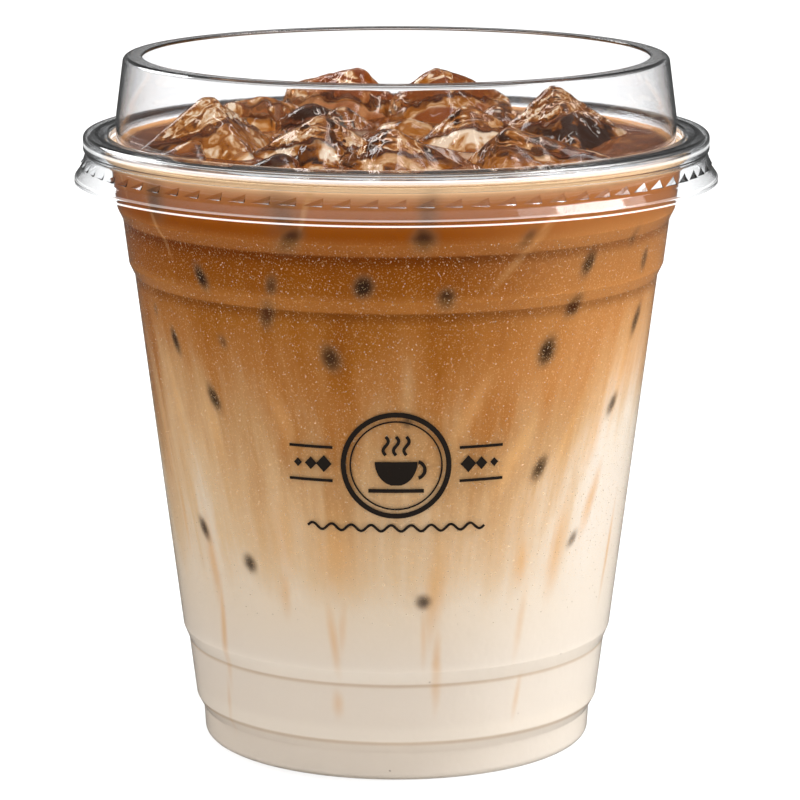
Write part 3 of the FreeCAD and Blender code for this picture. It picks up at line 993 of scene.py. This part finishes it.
def drops_tree():
    """Scatters flattened drops over a wall."""
    tree, graph, given = new_tree("condensation", Density="Float", Smallest="Float", Largest="Float",
                                  Bottom="Float", Seed="Int")
    height = graph.parts(graph.node("GeometryNodeInputPosition"))[2]
    patches = graph.noise(graph.node("GeometryNodeInputPosition"), 70.0, 2.0)
    fade = graph.step(height, given["Bottom"], given["Bottom"] + THINNING, 0.08, 1.0)
    density = given["Density"] * fade * graph.step(patches, 0.3, 0.65, 0.55, 1.0)
    points, turn = graph.outputs("GeometryNodeDistributePointsOnFaces", ("Points", "Rotation"), {
        "Mesh": given["Geometry"], "Density": density, "Seed": given["Seed"]})
    drop = graph.node("GeometryNodeMeshUVSphere", {"Segments": 4, "Rings": 2, "Radius": 1.0})
    pick = graph.node("FunctionNodeRandomValue", {
        2: 0.0, 3: 1.0, "Seed": given["Seed"]}, {"data_type": "FLOAT"}, 1)
    radius = given["Smallest"] + (given["Largest"] - given["Smallest"]) * pick ** CROWDED_SMALL
    flat = graph.node("ShaderNodeCombineXYZ", {0: radius, 1: radius, 2: radius * FLATNESS})
    placed = graph.node("GeometryNodeInstanceOnPoints", {
        "Points": points, "Instance": drop, "Rotation": turn, "Scale": flat})
    return ended(tree, graph, placed, "water")


class LATTE_OT_drops(Operator):
    """Scatter fine condensation over the cup's side"""
    bl_idname = "latte.drops"
    bl_label = "Condensation"

    def execute(self, context):
        look, cup = sizes("drops"), sizes("cup")
        side = [point for point in sampled(cup_outline()[3:]) if look.bottom <= point.y <= look.top]
        bm = swept(side, cup.segments // 2, False)
        area = sum(face.calc_area() for face in bm.faces)
        material = Paint("water").finish_clear(
            Base_Color=DROP_GLINT_TINT, Roughness=0.05, IOR=WATER_IOR, Transmission_Weight=0.7)
        drops = grown_by_nodes(mesh_of(bm, "wall", False), "condensation", drops_tree(), {
            "Density": SPARE * look.drops / area, "Smallest": look.smallest, "Largest": look.largest,
            "Bottom": look.bottom, "Seed": look.seed})
        dressed(added("condensation", drops), material, "cup_plastic")
        return {"FINISHED"}


# ---- print ----
COLUMN_WIDTH = 0.8  # millimetres; wider strokes get more columns of faces, to follow the wall


def arc(radius, start=0.0, end=360.0, middle=(0.0, 0.0), steps=72):
    """Points along an arc, in millimetres; angles in degrees, anticlockwise from the right."""
    turns = (math.radians(start + (end - start) * i / steps) for i in range(steps + 1))
    return [(middle[0] + radius * math.cos(t), middle[1] + radius * math.sin(t)) for t in turns]


def line(start, end, steps=12):
    return [(start[0] + (end[0] - start[0]) * i / steps, start[1] + (end[1] - start[1]) * i / steps)
            for i in range(steps + 1)]


def wave(start, end, swing, turns, steps=80):
    """A line that swings to both sides."""
    (x0, y0), (x1, y1) = start, end
    length = math.hypot(x1 - x0, y1 - y0)
    side = ((y0 - y1) / length, (x1 - x0) / length)
    swings = (swing * math.sin(2 * math.pi * turns * i / steps) for i in range(steps + 1))
    return [(x + side[0] * off, y + side[1] * off) for (x, y), off in zip(line(start, end, steps), swings)]


def ribbons():
    """Every stroke of the print as (points, width at each point), in millimetres from the badge's middle."""
    mark = sizes("mark")
    ring, reach = mark.badge / MM, mark.reach / MM
    made = [(arc(ring - 0.4), 0.8), (arc(ring - 1.5), 0.25)]
    bowl = line((0.0, 0.6), (0.0, -3.2), 16)
    made.append((bowl, [2 * 3.3 * math.sqrt(max(0.02, 1.0 - ((0.6 - y) / 3.9) ** 2)) for _, y in bowl]))
    made.append((arc(1.35, -75, 75, (3.1, -0.7), 20), 0.55))
    made.append((line((-4.3, -4.1), (4.3, -4.1)), 0.6))
    made += [(wave((x, 1.7), (x, 4.7), 0.4, 1.0, 24), 0.5) for x in (-1.6, 0.0, 1.6)]
    for side in (-1, 1):
        near, far = side * (ring + 1.3), side * reach
        made += [(line((near, y), (far, y)), 0.45) for y in (2.7, -2.7)]
        for i in range(3):
            middle, half = near + (far - near) * (0.2 + 0.3 * i), 1.25 - 0.3 * i
            diamond = line((middle - half, 0.0), (middle + half, 0.0), 8)
            made.append((diamond, [2.2 * max(0.02, half - abs(x - middle)) for x, _ in diamond]))
    made.append((wave((-reach + 3, -ring - 1.6), (reach - 3, -ring - 1.6), 0.5, 9.0, 180), 0.4))
    return made


def bridged(bm, first, second):
    """Fills the strip between two rows of vertices."""
    for corners in zip(first, first[1:], second[1:], second):
        bm.faces.new(corners)


def ribbon_rows(bm, points, widths, columns, relief):
    """Rows of vertices across a stroke, laid round the cup's wall and lifted off it by relief."""
    mark = sizes("mark")
    rows = []
    for i, ((x, y), width) in enumerate(zip(points, widths)):
        (xa, ya), (xb, yb) = points[max(i - 1, 0)], points[min(i + 1, len(points) - 1)]
        length = math.hypot(xb - xa, yb - ya)
        side = ((ya - yb) / length, (xb - xa) / length)
        row = []
        for j in range(columns + 1):
            off = width * (j / columns - 0.5)
            height = mark.height + (y + side[1] * off) * MM
            radius = side_radius(height)
            row.append(bm.verts.new(on_wall(radius + relief, (x + side[0] * off) * MM / radius, height)))
        rows.append(row)
    return rows


class LATTE_OT_mark(Operator):
    """Print the plain badge with a steaming cup and its side ornaments on the front"""
    bl_idname = "latte.mark"
    bl_label = "Print"

    def execute(self, context):
        mark = sizes("mark")
        bm = bmesh.new()
        for points, widths in ribbons():
            if isinstance(widths, float):
                widths = [widths] * len(points)
            columns = max(1, math.ceil(max(widths) / COLUMN_WIDTH))
            front, back = (
                ribbon_rows(bm, points, widths, columns, relief) for relief in (mark.relief, -mark.relief))
            for rows in (front, back):
                for first, second in zip(rows, rows[1:]):
                    bridged(bm, first, second)
            for end in (0, -1):
                bridged(bm, [row[end] for row in front], [row[end] for row in back])
                bridged(bm, front[end], back[end])
        paint = Paint("ink")
        material = paint.finish(paint.shader(
            Base_Color=tuple(mark.ink), Roughness=0.6, Specular_IOR_Level=0.1))
        piece = dressed(added("plain_mark", mesh_of(bm, "plain_mark")), material, "cup_plastic")
        piece.data.shade_flat()
        return {"FINISHED"}


# ---- stage ----
REACH = 6.0  # half the width of the floor
AIM = Vector((0.0, 0.0, 0.09))  # what the lamps face
EYE = (0.0006, -0.6056, 0.1791)  # where the camera stands
TILT = 11.556  # how far it looks down, in degrees


def lamp(name, place, width, height, power):
    """A soft area lamp that faces the drink."""
    data = bpy.data.lights.new(name, "AREA")
    data.shape, data.size, data.size_y, data.energy = "RECTANGLE", width, height, power
    made = added(name, data)
    made.location = place
    made.rotation_euler = (AIM - Vector(place)).to_track_quat("-Z", "Y").to_euler()


class LATTE_OT_stage(Operator):
    """Set the white floor, the white surroundings, the lamps and the camera"""
    bl_idname = "latte.stage"
    bl_label = "Stage"

    def execute(self, context):
        look = sizes("stage")
        scene = context.scene
        scene.view_settings.view_transform = "Standard"

        bm = bmesh.new()
        corners = ((-REACH, -REACH), (REACH, -REACH), (REACH, REACH), (-REACH, REACH))
        bm.faces.new([bm.verts.new((x, y, 0.0)) for x, y in corners])
        floor = added("floor", mesh_of(bm, "floor"))
        paint = Paint("floor")
        white = paint.node("ShaderNodeBsdfDiffuse", {"Color": (0.95, 0.95, 0.95)})
        seen, mirrored = paint.rays()
        brightness = seen + mirrored * look.mirrored
        glow = paint.node("ShaderNodeEmission", {"Color": WHITE, "Strength": brightness})
        painted = paint.math("MAXIMUM", seen * look.floor, mirrored)
        floor.data.materials.append(
            paint.finish(paint.node("ShaderNodeMixShader", {0: painted, 1: white, 2: glow})))

        world = bpy.data.worlds.new("surroundings")
        world.use_nodes = True
        world.node_tree.nodes.clear()
        graph = Graph(world.node_tree)
        seen, mirrored = graph.rays()
        upwards = graph.parts(graph.node("ShaderNodeTexCoord"))[2]
        in_mirror = graph.step(upwards, 0.35, 0.9, look.mirrored, look.overhead)
        strength = (1.0 - seen - mirrored) * look.world + seen + mirrored * in_mirror
        sky = graph.node("ShaderNodeBackground", {"Color": WHITE, "Strength": strength})
        graph.node("ShaderNodeOutputWorld", {"Surface": sky})
        scene.world = world

        lamp("key", (0.78, 0.0, 0.86), 0.38, 0.66, look.key)
        lamp("key_glow", (0.79, 0.0, 0.87), 0.74, 0.90, look.glow)
        lamp("back", (-0.62, 0.70, 0.62), 0.40, 0.40, look.back)

        camera = bpy.data.cameras.new("camera")
        camera.lens, camera.sensor_width = 169.55, 36.0
        camera.clip_start, camera.clip_end = 0.01, 50.0
        seat = added("camera", camera)
        seat.location = EYE
        seat.rotation_euler = (math.radians(90.0 - TILT), 0.0, 0.0)
        scene.camera = seat
        return {"FINISHED"}


class LATTE_PT_drink(Panel):
    """Lists the pieces of the drink"""
    bl_label = "Iced Latte"
    bl_space_type = "VIEW_3D"
    bl_region_type = "UI"
    bl_category = "Drink"

    def draw(self, context):
        for piece, group in PIECES.items():
            box = self.layout.box()
            box.operator("latte." + piece)
            for name in group.__annotations__:
                box.prop(getattr(context.scene, "latte_" + piece), name)


OPERATORS = (LATTE_OT_cup, LATTE_OT_lid, LATTE_OT_drink, LATTE_OT_ice, LATTE_OT_drops, LATTE_OT_mark,
             LATTE_OT_stage)


def register():
    for made in (*PIECES.values(), *OPERATORS, LATTE_PT_drink):
        bpy.utils.register_class(made)
    for piece, group in PIECES.items():
        setattr(bpy.types.Scene, "latte_" + piece, PointerProperty(type=group))


def unregister():
    for piece in PIECES:
        delattr(bpy.types.Scene, "latte_" + piece)
    for made in (LATTE_PT_drink, *reversed(OPERATORS), *PIECES.values()):
        bpy.utils.unregister_class(made)


def main():
    register()
    for piece in PIECES:
        getattr(bpy.ops.latte, piece)()


if __name__ == "__main__":
    main()
